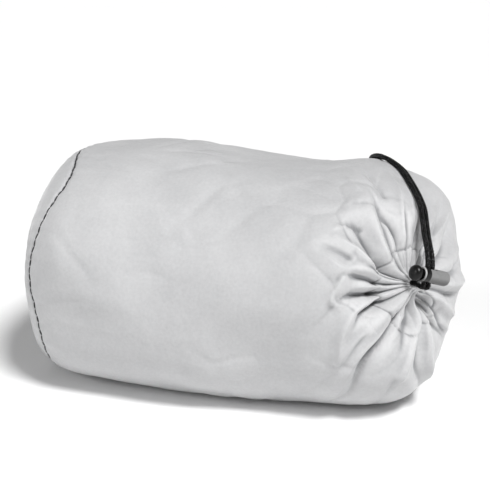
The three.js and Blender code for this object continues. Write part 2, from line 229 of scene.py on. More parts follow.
cordLook = {"fleckFrom": 0.6, "fleckTo": 0.7, "dark": (0.001, 0.001, 0.001), "glintFleck": (0.26, 0.26, 0.27)}
cordFinish = Finish("blackBraid", Roughness=0.5, Specular_IOR_Level=0.12)
cordMap = cordFinish.node("UVMap", {"uv_map": "surface"})[0]
cordSlant = cordFinish.node("Mapping", at0=cordMap, Scale=(1.3, 1.3, 1), Rotation=(0, 0, 0.6))[0]
cordFibre = cordFinish.node("TexNoise", Vector=cordSlant, Scale=1.5, Detail=2.0, Roughness=0.6)[0]
cordGlintFleck = cordFinish.node("MapRange", at0=cordFibre, at1=cordLook["fleckFrom"], at2=cordLook["fleckTo"])[0]
cordFinish.join(cordFinish.shades(cordGlintFleck, cordLook["dark"], cordLook["glintFleck"]), "Base Color")
cordFinish.join(cordFinish.node("Bump", Height=cordFibre, Strength=0.6, Distance=0.0002)[0], "Normal")

strands = []
for strandName, node, side in (("drawcordLeft", "drawcord_a", -1), ("drawcordRight", "drawcord_b", 1)):
    line = strandLine(side, cord["rings"])
    strand = asPiece(braid(line, strandName), cordFinish.material)
    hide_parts(node)
    strands.append({"piece": strand, "line": line})


# Knot: a tight overhand knot in the cord, with its two cut ends hanging
knot = {"centre": (54.2, 77.6, 47.7), "across": 1.22, "high": 1.12, "deep": 1.575, "turns": 260,
        "tailSpread": 14, "tailOffset": 1.5, "tailFrom": 1.4, "tailTo": 9.9, "tailRings": 50,
        "leadRow": -3, "leadRings": 60}


def knotPieces():
    t = np.linspace(0, 2 * np.pi, knot["turns"])
    loop = np.stack([
        (np.sin(t) + 2 * np.sin(2 * t)) * knot["across"],
        -np.sin(3 * t) * knot["deep"],
        (np.cos(t) - 2 * np.cos(2 * t)) * knot["high"],
    ], axis=1)
    lines = [(loop + knot["centre"]) * mm]
    for side in (-1, 1):
        lean = math.radians(knot["tailSpread"])
        down = np.array((side * math.sin(lean), 0, -math.cos(lean)))
        reach = np.linspace(knot["tailFrom"], knot["tailTo"], knot["tailRings"])[:, None]
        start = np.array(knot["centre"]) + (side * knot["tailOffset"], 0, 0)
        lines.append((start + down * reach) * mm)
    for strand in strands:  # from the strands' ends into the knot
        end, heart = strand["line"][knot["leadRow"]], np.array(knot["centre"]) * mm
        lines.append(end + (heart - end) * np.linspace(0, 1, knot["leadRings"])[:, None])
    bm = bmesh.new()
    for line in lines:
        part = braid(line, "knotPart")
        bm.from_mesh(part)
        bpy.data.meshes.remove(part)
    return toMesh(bm, "cordKnot")


cordKnot = asPiece(knotPieces(), cordFinish.material)
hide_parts("cord_knot")
print("cord and knot made")


# Cord lock. Lengths along it run from the button's dome to the closed end.
lockShape = {
    "steps": 64,
    "barrel": [
        (0, 8.6), (2.5, 8.6), (2.5, -3.7), (2.62, -3.95), (2.85, -4.05), (3.12, -4.0), (3.3, -3.75),
        (3.34, -3.2), (3.34, -2.2), (3.28, -1.9), (3.28, 9.0), (3.24, 9.7), (3.0, 10.35), (2.6, 10.7),
        (1.9, 10.88), (0, 10.9),
    ],
    "button": [
        (0, -9.5), (0.9, -9.46), (1.7, -9.3), (2.4, -9.0), (2.95, -8.55), (3.3, -8.0), (3.47, -7.4),
        (3.5, -6.7), (3.42, -6.35), (3.2, -6.2), (2.3, -6.2), (2.2, -6.1), (2.2, 4.1), (2.1, 4.3), (0, 4.3),
    ],
    "slotWidth": 3.05, "barrelSlot": (-2.9, 4.2), "buttonSlot": (-4.8, 2.9), "slotDepth": 9.0,
    "slotSides": 32, "edge": 0.14, "edgeSteps": 2, "edgeAngle": 50,
}
# Its plastic: how far the grain varies each tone, and how far painted shade darkens it towards its under side
# and painted light brightens its top
lockLook = {"vary": 0.2, "shadeFrom": -3.3, "shadeTo": 0.1, "below": 0.2, "paintedLightTop": 1.15,
            "smoothest": 0.24, "roughest": 0.42}
lockZ = unit(np.cross(np.cross(lockAxis, lock["hole"]), lockAxis))
lockX = np.cross(lockAxis, lockZ)
lockPlace = Matrix.Translation(lock["centre"]) @ Matrix((lockX, lockAxis, lockZ)).transposed().to_4x4()


def turnedWithSlot(profile, slot, name):
    bm = bmesh.new()
    line = [bm.verts.new((r * mm, y * mm, 0)) for r, y in profile]
    edges = [bm.edges.new(pair) for pair in zip(line, line[1:])]
    bmesh.ops.spin(bm, geom=line + edges, cent=(0, 0, 0), axis=(0, 1, 0), angle=2 * math.pi,
                   steps=lockShape["steps"], use_merge=True)
    bmesh.ops.remove_doubles(bm, verts=bm.verts[:], dist=1e-6)
    bmesh.ops.recalc_face_normals(bm, faces=bm.faces[:])
    body = bpy.data.objects.new("turned", toMesh(bm, "turned"))
    cutter = bmesh.new()
    radius = lockShape["slotWidth"] / 2 * mm
    sides = lockShape["slotSides"]
    bmesh.ops.create_circle(cutter, cap_ends=True, segments=sides, radius=radius,
                            matrix=Matrix.Rotation(math.pi / sides, 4, "Z"))
    for v in cutter.verts:
        v.co.y += slot[1] * mm - radius if v.co.y > 0 else slot[0] * mm + radius
        v.co.z = -lockShape["slotDepth"] / 2 * mm
    lifted = bmesh.ops.extrude_face_region(cutter, geom=cutter.faces[:])
    bmesh.ops.translate(cutter, vec=(0, 0, lockShape["slotDepth"] * mm),
                        verts=[g for g in lifted["geom"] if isinstance(g, bmesh.types.BMVert)])
    bmesh.ops.recalc_face_normals(cutter, faces=cutter.faces[:])
    tool = bpy.data.objects.new("slot", toMesh(cutter, "slot"))
    for o in (body, tool):
        scene.collection.objects.link(o)
    cut = body.modifiers.new("slot", "BOOLEAN")
    cut.operation, cut.object, cut.solver = "DIFFERENCE", tool, "EXACT"
    bevel = body.modifiers.new("edge", "BEVEL")
    bevel.width, bevel.segments = lockShape["edge"] * mm, lockShape["edgeSteps"]
    bevel.limit_method, bevel.angle_limit = "ANGLE", math.radians(lockShape["edgeAngle"])
    depsgraph = bpy.context.evaluated_depsgraph_get()
    mesh = bpy.data.meshes.new_from_object(body.evaluated_get(depsgraph), depsgraph=depsgraph)
    mesh.name = name
    mesh.transform(lockPlace)
    for o in (body, tool):
        bpy.data.objects.remove(o)
    return mesh


def lockFinish(name, tones, edges):  # one tone up to each edge along the barrel, and one past the last
    finish = Finish(name, Specular_IOR_Level=0.32)
    place = finish.node("TexCoord")["Object"]
    grain = finish.node("TexNoise", Vector=place, Scale=900.0, Detail=4.0, Roughness=0.6)[0]
    along = finish.node("VectorMath", {"operation": "DOT_PRODUCT"}, at0=place, at1=tuple(lockAxis))[1]
    start = float(np.dot(lock["centre"], lockAxis))
    vary = lockLook["vary"]
    grained = [finish.between(grain, level * (1 - vary), level * (1 + vary)) for level in tones]
    tone = grained[0]
    for edge, level in zip(edges, grained[1:]):
        past = finish.calc("GREATER_THAN", along, start + edge * mm)
        tone = finish.node("Mix", at0=past, at2=tone, at3=level)[0]
    # Painted shade and painted highlight: the tone darkens towards the under side and lightens on top
    rise = finish.node("VectorMath", {"operation": "DOT_PRODUCT"}, at0=place, at1=tuple(lockZ))[1]
    middle = float(np.dot(lock["centre"], lockZ))
    low, high = (middle + lockLook[key] * mm for key in ("shadeFrom", "shadeTo"))
    shade = finish.node("MapRange", at0=rise, at1=low, at2=high, at3=lockLook["below"],
                        at4=lockLook["paintedLightTop"])[0]
    tone = finish.calc("MULTIPLY", tone, shade)
    finish.join(finish.node("CombineColor", at0=tone, at1=tone, at2=tone)[0], "Base Color")
    finish.join(finish.between(grain, lockLook["smoothest"], lockLook["roughest"]), "Roughness")
    finish.join(finish.node("Bump", Height=grain, Strength=0.25, Distance=0.00004)[0], "Normal")
    return finish.material


# The barrel's light first tone, at its open rim, is a painted highlight
lockBarrel = asPiece(
    turnedWithSlot(lockShape["barrel"], lockShape["barrelSlot"], "lockBarrel"),
    lockFinish("satinBarrel", (0.36, 0.003, 0.2), (-3.4, -0.6)))
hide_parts("lock_barrel")
lockButton = asPiece(
    turnedWithSlot(lockShape["button"], lockShape["buttonSlot"], "lockButton"),
    lockFinish("blackButton", (0.003,), ()), body="button")
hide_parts("lock_button")

for strand, riders in zip(strands, ([cordKnot, lockBarrel, lockButton], [])):
    line = strand["line"]
print("cord lock made")


# Sack: its solid's base form, with the folds drawn finer and the mouth a little nearer the lock
sack = {
    "columns": 432, "sideRings": 66, "endRings": 132, "seamX": -85, "shoulderX": -90, "rimX": 46,
    "endLength": 60.5, "axisHeight": 48, "floorSag": 4, "backFullness": 0.9,
    "mouth": (0.735, -0.62, 0.255), "clothRadius": 60, "mouthRadius": 0.9, "pitDepth": 8,
    "pitRows": ((0.9, 0.3), (0.8, 0.6), (0.7, 1.0)), "hemShares": (0.5, 0.97),
    "sideCrowding": 1.15, "endCrowding": 1.5, "mouthSink": 3.0, "mouthSpread": 2.4, "mouthCalm": 12,
    "shoulderCalm": 25, "casingPuff": 1.7, "girth": 385,
}
# How steep and how rounded folds, crests and tucks get, and where along their lines they begin and end
crease = {
    "share": 0.16, "steepness": 2.3, "reach": 6, "mouthReach": 5, "beginsOver": 0.25, "endsFrom": 0.6,
    "foldBoost": 1.3, "foldSoft": 0.01, "crestBoost": 1.2, "crestSoft": 0.06,
    "tuckShare": 0.12, "tuckSteepness": 1.6, "tuckFrom": 0.35, "tuckSoft": 0.02, "tuckLift": 0.14,
    "dimpleLength": 0.55,
}
# Sections along the sack: x, middle, half width, top, fullness towards the floor
sections = np.array([
    (-90, 6.5, 61, 100, 0.45), (-86, 5, 64, 103.5, 0.5), (-79, 3, 68.5, 106.5, 0.6),
    (-66, 1, 72, 108, 0.85), (-40, 0, 73.5, 107.5, 1), (0, 0, 73.5, 104.5, 1), (46, 0.5, 73.5, 103, 1),
])
# Folds drawn in at the mouth: depth, width, lean, and the line's headings and distances from the mouth
folds = [
    (3.2, 3.2, 0.3, [(72, 3), (66, 14), (63, 20), (61, 28), (60, 38)]),
    (2.2, 2.0, 0.3, [(86, 3), (80, 14), (79, 22), (77.5, 32), (75, 44)]),
    (3.4, 2.0, -0.3, [(99, 3), (95.5, 14), (92.5, 22), (93, 29), (97, 36), (96, 44)]),
    (3.0, 2.8, 0.3, [(116, 3), (110, 14), (105, 22), (100, 31), (96, 42), (91, 60)]),
    (6.0, 4.2, -0.4, [(146, 3), (139, 14), (132, 21), (124, 29), (119, 38), (117, 46)]),
    (2.6, 1.6, 0.0, [(152, 3), (149, 12), (147, 19), (147, 26)]),
    (4.4, 2.7, 0.2, [(169, 3), (166, 13), (161, 20), (160, 29), (163, 35)]),
    (6.0, 3.4, 0.0, [(188, 3), (184, 14), (180.5, 21), (179, 29), (178, 37)]),
    (5.8, 2.9, 0.0, [(212, 3), (207, 14), (203, 20), (201, 28), (208, 36)]),
    (5.6, 2.6, -0.5, [(254, 3), (246, 14), (241, 20), (236.5, 28), (234.5, 39), (238, 50), (243, 62),
                      (242, 84)]),
    (4.2, 2.6, -0.3, [(274, 3), (264, 12), (260, 19), (256, 24), (251, 34)]),
    (4.4, 3.4, 0.3, [(289, 3), (283, 14), (277, 21), (270, 29), (269, 40), (275, 50), (282, 66)]),
    (3.2, 1.6, 0.2, [(296, 3), (290, 10), (286, 17), (283, 23)]),
    (3.8, 2.4, 0.2, [(305, 3), (299, 13), (295, 20), (297, 28), (302, 38), (307, 58)]),
    (2.8, 1.5, 0.2, [(312, 3), (306, 11), (302, 19), (301, 25)]),
    (3.4, 2.2, 0.2, [(320, 3), (316, 12), (311, 20), (308, 28), (306, 38), (309, 54)]),
    (2.6, 1.5, 0.0, [(330, 3), (327, 12), (324, 20)]),
    (3.0, 3.0, 0.0, [(339, 3), (336, 14), (334, 26), (337, 40), (340, 54)]),
    (3.0, 3.0, 0.2, [(356, 3), (354, 14), (355, 28), (357, 44)]),
    (3.2, 3.4, -0.2, [(13, 3), (16, 14), (20, 28), (23, 44), (26, 66)]),
    (2.8, 2.4, 0.2, [(30, 3), (34, 14), (37, 26), (36, 40), (34, 66)]),
    (2.6, 2.4, 0.2, [(51, 3), (47, 14), (43, 26), (40, 40), (38, 66)]),
    (1.4, 2.2, 0.0, [(148, 30), (144.5, 38), (144, 50)]),
    (1.2, 1.6, 0.3, [(115, 34), (120, 40), (128, 46)]),
    (1.6, 3.0, 0.0, [(218, 28), (222, 40), (228, 56), (232, 80)]),
    (1.8, 3.2, 0.3, [(254, 40), (256, 52), (262, 76)]),
    (1.5, 1.8, 0.4, [(87, 40), (84, 52), (80, 74)]),
]
# Crests between the folds, in the same way
crests = [
    (1.8, 2.2, -0.3, [(84, 14), (81.5, 22), (80, 31), (76, 42), (71, 56), (66, 78)]),
    (2.6, 6.5, 0.0, [(119, 9), (116, 18), (109, 27), (103, 38), (97, 52), (90, 80)]),
    (2.2, 1.9, 0.3, [(148, 13), (143, 21), (138, 28), (135.5, 36), (134.5, 46)]),
    (2.0, 3.0, 0.2, [(155, 10), (153, 20), (154.5, 28), (156, 34), (151, 42), (148, 50)]),
    (1.8, 3.6, 0.0, [(174, 9), (172, 20), (171, 30)]),
    (1.9, 2.3, 0.4, [(158, 29), (164, 33), (172, 36), (180, 38.5), (185, 36), (187, 30)]),
    (2.8, 3.4, 0.3, [(195, 10), (194, 22), (197, 31), (206, 39), (218, 46), (229, 55), (236, 74)]),
    (1.6, 2.8, 0.0, [(244, 12), (236, 21), (231.5, 30), (229, 40), (233, 52), (239, 70)]),
    (3.0, 2.7, 0.3, [(283, 7), (277, 15), (268, 23), (260, 30), (256, 40), (257, 54), (261, 82)]),
    (3.0, 2.7, 0.3, [(301, 7), (294, 15), (290, 22), (282, 30), (278.5, 39), (283, 52), (289, 76)]),
    (2.0, 3.0, 0.0, [(310, 10), (305, 20), (305, 30), (311, 44), (315, 60)]),
    (2.4, 4.0, 0.0, [(327, 12), (323, 24), (321, 40), (325, 62)]),
    (2.2, 4.0, 0.0, [(346, 12), (345, 26), (347, 44), (349, 60)]),
    (2.2, 4.0, 0.0, [(5, 12), (7, 26), (9, 42), (11, 60)]),
    (1.8, 1.8, 0.3, [(40, 22), (37, 30), (32, 42), (29, 58), (28, 74)]),
    (1.6, 1.8, 0.3, [(47, 20), (45, 28), (41, 38), (37, 54), (35, 74)]),
    (0.9, 1.2, 0.3, [(94, 41), (93, 48), (91, 56)]),
    (0.8, 1.2, 0.3, [(99, 49), (98, 57), (95, 66)]),
    (0.8, 1.1, 0.0, [(104, 44), (108, 48), (115, 50)]),
    (0.9, 1.4, 0.0, [(121, 41), (127, 43), (134, 46)]),
    (1.0, 2.6, 0.0, [(70, 24), (68, 34), (64, 50), (60, 76)]),
]
# Small tucks in the casing, between the pleats
tucks = [
    (15, 17, 24, 0.8, 1.1), (34, 33, 22, 0.7, 1.0), (51, 49, 20, 0.7, 0.9), (64, 63, 24, 0.8, 1.0),
    (75, 77, 26, 0.9, 1.0), (87, 89, 24, 0.8, 0.9), (101, 99, 22, 0.9, 1.0), (118, 112, 20, 0.8, 1.0),
    (139, 140, 16, 0.6, 1.0), (150, 149, 20, 0.7, 1.0), (171, 172, 18, 0.6, 1.1), (196, 199, 17, 0.6, 1.1),
    (220, 222, 15, 0.5, 1.2), (234, 235, 19, 0.7, 1.1), (250, 252, 26, 0.9, 1.0), (266, 268, 28, 1.0, 1.0),
    (284, 286, 30, 1.0, 1.0), (300, 303, 30, 1.0, 1.1), (316, 320, 28, 0.9, 1.1), (336, 339, 24, 0.8, 1.2),
    (357, 359, 22, 0.8, 1.1),
]
lumps = [(2, 110, 20, 0.8), (3, -95, 130, 0.7), (5, 130, 250, 0.5), (7, -70, 70, 0.4)]
seamWaves = [(123, 22, 10.5), (171, 14, -3), (208, 22, 4)]
# Wrinkles: heights and sizes; "out" and "outOver" are where they start and how far out they are whole
wrinkles = {
    "radial": 0.55, "radialTurns": 6.5, "radialStep": 34, "radialMiddle": 30, "radialReach": 24,
    "lengthwise": 0.4, "lengthwiseTurns": 6, "lengthwiseStep": 52, "lengthwiseOut": 30, "lengthwiseOver": 40,
    "crumple": 1.0, "crumpleSize": 25, "crumpleEdge": 7, "crumpleLevel": 0.25, "crumpleSway": 6,
    "swaySize": 30, "patchSize": 48, "patchContrast": 1.6,
    "fine": 0.12, "fineSize": 5.5, "out": 16, "outOver": 20, "seed": 7.3,
}
seam = {"groove": 1.1, "grooveWidth": 1.1, "radius": 62, "pucker": 0.35, "puckerLength": 8.5,
        "puckerReach": 7, "puckerSways": ((3, 1.7), (7, 0.9)), "casingGroove": 0.6, "casingGrooveWidth": 0.55}
# The casing's stitching: heading and distance from the mouth
casing = [(15, 17), (45, 18.5), (70, 18.5), (82, 17), (96, 17.6), (106, 17.4), (113, 15.2), (120, 14.5),
          (128, 15.3), (135, 18), (145, 18.4), (150, 15.4), (156, 14.5), (163, 16.6), (171, 15), (177, 15.6),
          (183, 18.2), (190, 14.8), (195, 14.2), (200, 15.2), (205, 18.2), (212, 17.4), (225, 17), (233, 18),
          (239, 19.4), (245, 22.4), (252, 23.6), (259, 25), (270, 24), (280, 21.4), (290, 23.6), (298, 24),
          (306, 25.5), (313, 23), (321, 18), (330, 15), (345, 15)]
# Puffed fold of the casing below the lock, where the strands come out
exitFold = {"centre": (93.14, -44.15, 59.5), "down": (0.056, -0.471, -0.88), "height": 3.6, "long": 4.0,
            "across": 1.9, "calm": 0.6}
# Deep dimples where a fold tucks under its neighbour: heading, distance, depth, radius
dimples = [(135, 17.5, 3.4, 2.3), (183, 17.5, 3.6, 1.9), (204.5, 17.5, 3.4, 1.8), (163, 17, 1.9, 1.4),
           (265, 13, 1.6, 2.2), (259, 21, 1.2, 2.0), (92, 27, 0.9, 1.6)]

mouthAxis = unit(np.array(sack["mouth"]))
mouthRight = unit(np.cross((0, 0, 1), mouthAxis))
mouthUp = np.cross(mouthAxis, mouthRight)


def measure(column, x):
    xs, values = sections[:, 0], sections[:, column]
    slopes = np.empty(len(xs))
    slopes[1:-1] = (values[2:] - values[:-2]) / (xs[2:] - xs[:-2])
    slopes[0], slopes[-1] = (values[1] - values[0]) / (xs[1] - xs[0]), 0
    x = np.clip(x, xs[0], xs[-1])
    i = np.clip(np.searchsorted(xs, x) - 1, 0, len(xs) - 2)
    span = xs[i + 1] - xs[i]
    t = (x - xs[i]) / span
    return (values[i] * (1 + 2 * t) * (1 - t) ** 2 + values[i + 1] * t * t * (3 - 2 * t)
            + span * (slopes[i] * t * (1 - t) ** 2 - slopes[i + 1] * t * t * (1 - t)))


def baseCloth(x, d):
    n = (2 + sack["backFullness"] * smooth(2 * d[..., 1]) * smooth(2 * d[..., 2])
         + measure(4, x) * smooth(-2 * d[..., 2]))
    share = (np.abs(d) ** n[..., None]).sum(-1) ** (-1 / n)
    half, top = measure(2, x), measure(3, x)
    rise = np.where(d[..., 2] > 0, top - sack["axisHeight"], sack["axisHeight"] + sack["floorSag"])
    point = np.stack([
        x + sack["endLength"] * d[..., 0] * share,
        measure(1, x) + half * d[..., 1] * share,
        sack["axisHeight"] + rise * d[..., 2] * share,
    ], axis=-1)
    outward = unit(np.stack([d[..., 0] / sack["endLength"], d[..., 1] / half, d[..., 2] / rise], axis=-1))
    return point, outward


def polar(d):
    heading = np.degrees(np.arctan2(d @ mouthUp, d @ mouthRight)) % 360
    return heading, np.arccos(np.clip(d @ mouthAxis, -1, 1))


def sideways(start, end, heading, distance, angle):
    line = start + (end - start) * np.minimum(distance / sack["clothRadius"], 1.5)
    off = np.radians(wrapped(heading - line))
    return sack["clothRadius"] * np.sin(np.minimum(angle, np.pi / 2)) * off


def casingLine(heading):  # distance of the casing's stitching from the mouth
    rows = np.array(casing)
    around = np.concatenate([rows[-2:, 0] - 360, rows[:, 0], rows[:2, 0] + 360])
    away = np.concatenate([rows[-2:, 1], rows[:, 1], rows[:2, 1]])
    return sum(np.interp(heading + off, around, away) for off in (-2, 0, 2)) / 3


def spread(heading, distance):  # the cloth around the mouth laid out flat
    h = np.radians(heading)
    return np.stack([distance * np.cos(h), distance * np.sin(h)], axis=-1)


# What a fold or crest does to the cloth beside its line: its depth there, less away from it and at its ends
def creaseShape(place, distance, row, soft):
    depth, width, lean, line = row
    flat = spread(*np.array(line, dtype=float).T)
    line = curvePoint(flat, np.linspace(0, 1, 5 * len(line)))
    shape = np.zeros(len(place))
    margin = crease["reach"] * width
    near = np.where(((place > line.min(0) - margin) & (place < line.max(0) + margin)).all(1))[0]
    at, best = place[near], np.full(len(near), 1e9)
    off, share = np.zeros(len(near)), np.zeros(len(near))
    for i, (a, b) in enumerate(zip(line, line[1:])):
        along = (b - a) / np.linalg.norm(b - a)
        t = np.clip((at - a) @ along / np.linalg.norm(b - a), 0, 1)
        gap = at - a - t[:, None] * (b - a)
        far = np.linalg.norm(gap, axis=1)
        closer = far < best
        best[closer] = far[closer]
        off[closer] = (far * np.sign(along[0] * gap[:, 1] - along[1] * gap[:, 0]))[closer]
        share[closer] = (i + t[closer]) / (len(line) - 1)
    wide = np.minimum(width, crease["share"] * np.maximum(distance[near], 0.01))
    deep = np.minimum(depth, crease["steepness"] * wide)
    side = np.abs(off) / (wide * (1 + lean * np.sign(off)))
    startsInMouth = np.linalg.norm(flat[0]) < crease["mouthReach"]
    begins = 1 if startsInMouth else smooth(share / crease["beginsOver"])
    ends = 1 - smooth((share - crease["endsFrom"]) / (1 - crease["endsFrom"]))
    shape[near] = deep * begins * ends * np.exp(-(np.sqrt(side * side + soft) - math.sqrt(soft)))
    return shape


def foldHeight(heading, distance, angle):
    height = np.zeros_like(distance)
    for start, end, reach, depth, width in tucks:
        wide = np.minimum(width, crease["tuckShare"] * distance)
        deep = np.minimum(depth, crease["tuckSteepness"] * wide)
        fade = 1 - smooth((distance / reach - crease["tuckFrom"]) / (1 - crease["tuckFrom"]))
        off = np.abs(sideways(start, end, heading, distance, angle)) / np.maximum(wide, 1e-6)
        height -= deep * fade * np.exp(crease["tuckLift"] - np.sqrt(off * off + crease["tuckSoft"]))
    place, away = spread(heading, distance).reshape(-1, 2), distance.reshape(-1)
    for row in folds:
        shape = creaseShape(place, away, row, crease["foldSoft"])
        height -= crease["foldBoost"] * shape.reshape(distance.shape)
    for row in crests:
        shape = creaseShape(place, away, row, crease["crestSoft"])
        height += crease["crestBoost"] * shape.reshape(distance.shape)
    for at, out, depth, radius in dimples:
        across = sideways(at, at, heading, distance, angle)
        lengthwise = (distance - out) * crease["dimpleLength"]
        height -= depth * np.exp(-(across**2 + lengthwise**2) / radius**2)
    edge = casingLine(heading)
    puff = np.clip((distance - 1) / (edge - 1), 0, 1)
    height += sack["casingPuff"] * np.sqrt(np.clip(np.sin(np.pi * puff), 0, 1))
    stitch = (distance - edge) / seam["casingGrooveWidth"]
    height -= seam["casingGroove"] * np.exp(-stitch * stitch)
    return height - sack["mouthSink"] * np.exp(-((distance / sack["mouthSpread"]) ** 2))


def lumpHeight(turn, x):
    return sum(size * np.sin(around * turn + 2 * np.pi * x / along + np.radians(phase))
               for around, along, phase, size in lumps)


def noiseAt(points, size, seed=0.0):
    flat = points.reshape(-1, 3) / size + (seed, wrinkles["seed"], -seed)
    return np.array([noise.noise(Vector(p)) for p in flat]).reshape(points.shape[:-1])


def creaseAt(points, size):  # how near a place is to the edge between two flat facets
    flat = points.reshape(-1, 3) / size
    gaps = np.empty(len(flat))
    for i, p in enumerate(flat):
        near = noise.voronoi(Vector(p))[0]
        gaps[i] = near[1] - near[0]
    return np.exp(-wrinkles["crumpleEdge"] * gaps.reshape(points.shape[:-1]))


def wrinkleHeight(point, turn, heading, distance):
    w, h = wrinkles, np.radians(heading)
    around = w["radialTurns"]
    spokes = np.stack([np.cos(h) * around, np.sin(h) * around, distance / w["radialStep"]], axis=-1)
    radial = noiseAt(spokes, 1.0) * np.exp(-(((distance - w["radialMiddle"]) / w["radialReach"]) ** 2))
    around = w["lengthwiseTurns"]
    along = point[..., 0] / w["lengthwiseStep"]
    pipes = np.stack([np.cos(turn) * around, np.sin(turn) * around, along], axis=-1)
    lengthwise = noiseAt(pipes, 1.0, 3.1) * smooth((distance - w["lengthwiseOut"]) / w["lengthwiseOver"])
    patch = smooth(0.5 + w["patchContrast"] * noiseAt(point, w["patchSize"], 5.7))
    swayed = point + w["crumpleSway"] * noiseAt(point, w["swaySize"], 1.9)[..., None]
    crumple = creaseAt(swayed, w["crumpleSize"]) - w["crumpleLevel"]
    fine = noiseAt(point, w["fineSize"], 9.2)
    out = smooth((distance - w["out"]) / w["outOver"])
    return (w["radial"] * radial + w["lengthwise"] * lengthwise + w["fine"] * fine * out
            - w["crumple"] * crumple * patch * out)


def seamPlace(turn):
    return sack["seamX"] + sum(shift * np.exp(-((wrapped(np.degrees(turn) - at) / width) ** 2))
                               for at, width, shift in seamWaves)


def seamHeight(turn, fromSeam):
    groove = seam["groove"] * np.exp(-((fromSeam / seam["grooveWidth"]) ** 2))
    arc = turn * seam["radius"]
    sway = sum(size * np.sin(times * turn) for times, size in seam["puckerSways"])
    pucker = np.cos(2 * np.pi * arc / seam["puckerLength"] + sway)
    return seam["pucker"] * pucker * np.exp(-np.abs(fromSeam) / seam["puckerReach"]) - groove


def settled(point):
    point[..., 2] = np.maximum(point[..., 2], 0)
    return point


def sidePoint(x, turn):
    d = np.stack([np.zeros_like(turn), np.cos(turn), np.sin(turn)], axis=-1)
    heading, angle = polar(d)
    distance = sack["clothRadius"] * angle + sack["rimX"] - x
    point, outward = baseCloth(x, d)
    calm = smooth((x - sack["shoulderX"]) / sack["shoulderCalm"])
    height = calm * (foldHeight(heading, distance, angle) + lumpHeight(turn, x)
                     + wrinkleHeight(point, turn, heading, distance))
    height = height + seamHeight(turn, x - seamPlace(turn))
    return settled(point + outward * height[..., None])


def endPoint(turn, share):
    rim = np.stack([np.zeros_like(turn), np.cos(turn), np.sin(turn)], axis=-1)
    rimAngle = polar(rim)[1]
    lip = sack["mouthRadius"] / sack["clothRadius"]
    angle = lip + (rimAngle - lip) * share ** sack["endCrowding"]
    away = unit(rim - (rim @ mouthAxis)[..., None] * mouthAxis)
    d = mouthAxis * np.cos(angle)[..., None] + away * np.sin(angle)[..., None]
    return clothPoint(d, angle, turn)


def clothPoint(d, angle, turn, lift=0.0):
    point, outward = baseCloth(np.full(turn.shape, float(sack["rimX"])), d)
    distance = sack["clothRadius"] * angle
    heading = polar(d)[0]
    calm = smooth((distance - sack["mouthRadius"]) / sack["mouthCalm"])
    away = point - exitFold["centre"]
    puff = np.exp(-((away @ lockAxis / exitFold["long"]) ** 2)
                  - (away @ unit(np.array(exitFold["down"])) / exitFold["across"]) ** 2)
    height = ((1 - exitFold["calm"] * puff) * foldHeight(heading, distance, angle) + puff * exitFold["height"]
              + calm * lumpHeight(turn, point[..., 0]) + calm * wrinkleHeight(point, turn, heading, distance))
    return settled(point + outward * (height + lift)[..., None])


# Where a heading's line from the mouth crosses the rim
def turnOf(heading):
    h = np.radians(heading)
    away = np.cos(h)[..., None] * mouthRight + np.sin(h)[..., None] * mouthUp
    angle = np.arctan2(mouthAxis[0], -away[..., 0])
    rim = mouthAxis * np.cos(angle)[..., None] + away * np.sin(angle)[..., None]
    return np.arctan2(rim[..., 2], rim[..., 1])


# The cloth gives way under the cord, so that the strands lie in it and not through it
press = {"every": 4, "reach": 4, "towards": (46, 0.5, 48), "clear": 0.12, "most": 1.6, "atOnce": 4000}


def pressedByCord(points):
    places = points.reshape(-1, 3)
    lines = np.vstack([strand["line"][::press["every"]] for strand in strands]) * 1000
    low, high = lines.min(0) - press["reach"], lines.max(0) + press["reach"]
    near = np.where(((places > low) & (places < high)).all(1))[0]
    inward = unit(np.array(press["towards"]) - places[near])
    clear = cord["diameter"] * 500 + press["clear"]
    for start in range(0, len(near), press["atOnce"]):
        part = slice(start, start + press["atOnce"])
        gaps = np.linalg.norm(places[near[part]][:, None] - lines[None], axis=2)
        need = np.clip(clear - gaps.min(1), 0, press["most"])
        places[near[part]] += inward[part] * need[:, None]
    return places.reshape(points.shape)


def sackPoints():
    turn = np.linspace(0, 2 * np.pi, sack["columns"] + 1)
    turn[-1] = 0
    seamX = seamPlace(turn)
    along = (np.arange(sack["sideRings"]) / sack["sideRings"]) ** sack["sideCrowding"]
    x = seamX + (sack["rimX"] - seamX) * along[:, None]
    side = sidePoint(x, np.broadcast_to(turn, x.shape))
    share = 1 - np.arange(sack["endRings"] + 1) / sack["endRings"]
    end = endPoint(np.broadcast_to(turn, (len(share), len(turn))), share[:, None])
    middle, normal = baseCloth(np.array(float(sack["rimX"])), mouthAxis)
    lip = end[-1] - middle
    sunk = (lip @ normal)[..., None]
    flat = lip - sunk * normal
    pit = [middle + flat * narrow + normal * (sunk * (1 - deep) - sack["pitDepth"] * deep)
           for narrow, deep in sack["pitRows"]]
    seamMiddle = np.array((sack["seamX"], measure(1, np.array(sack["seamX"])), sack["axisHeight"]))
    hem = [seamMiddle + (side[0] - seamMiddle) * share for share in sack["hemShares"]]
    poles = [np.broadcast_to(p, lip.shape) for p in (seamMiddle, middle - normal * sack["pitDepth"])]
    rows = [poles[0][None], np.array(hem), side, end, np.array(pit), poles[1][None]]
    return pressedByCord(np.concatenate(rows))


# Painted shade in the mouth: the cloth goes near black around a line from its centre along its reach
mouthShade = {"centre": (88.2, -43.4, 60.6), "reach": (4.6, 2.2, 0.2), "inner": 1.6, "outer": 3.3}
hollowShade = {"heartFrom": -70, "heartTo": 46, "heartHeight": 48.0, "steps": (2, 4), "outwards": 0.4,
          "least": -0.4, "most": 1.6, "wholeTo": 26, "fade": 26}
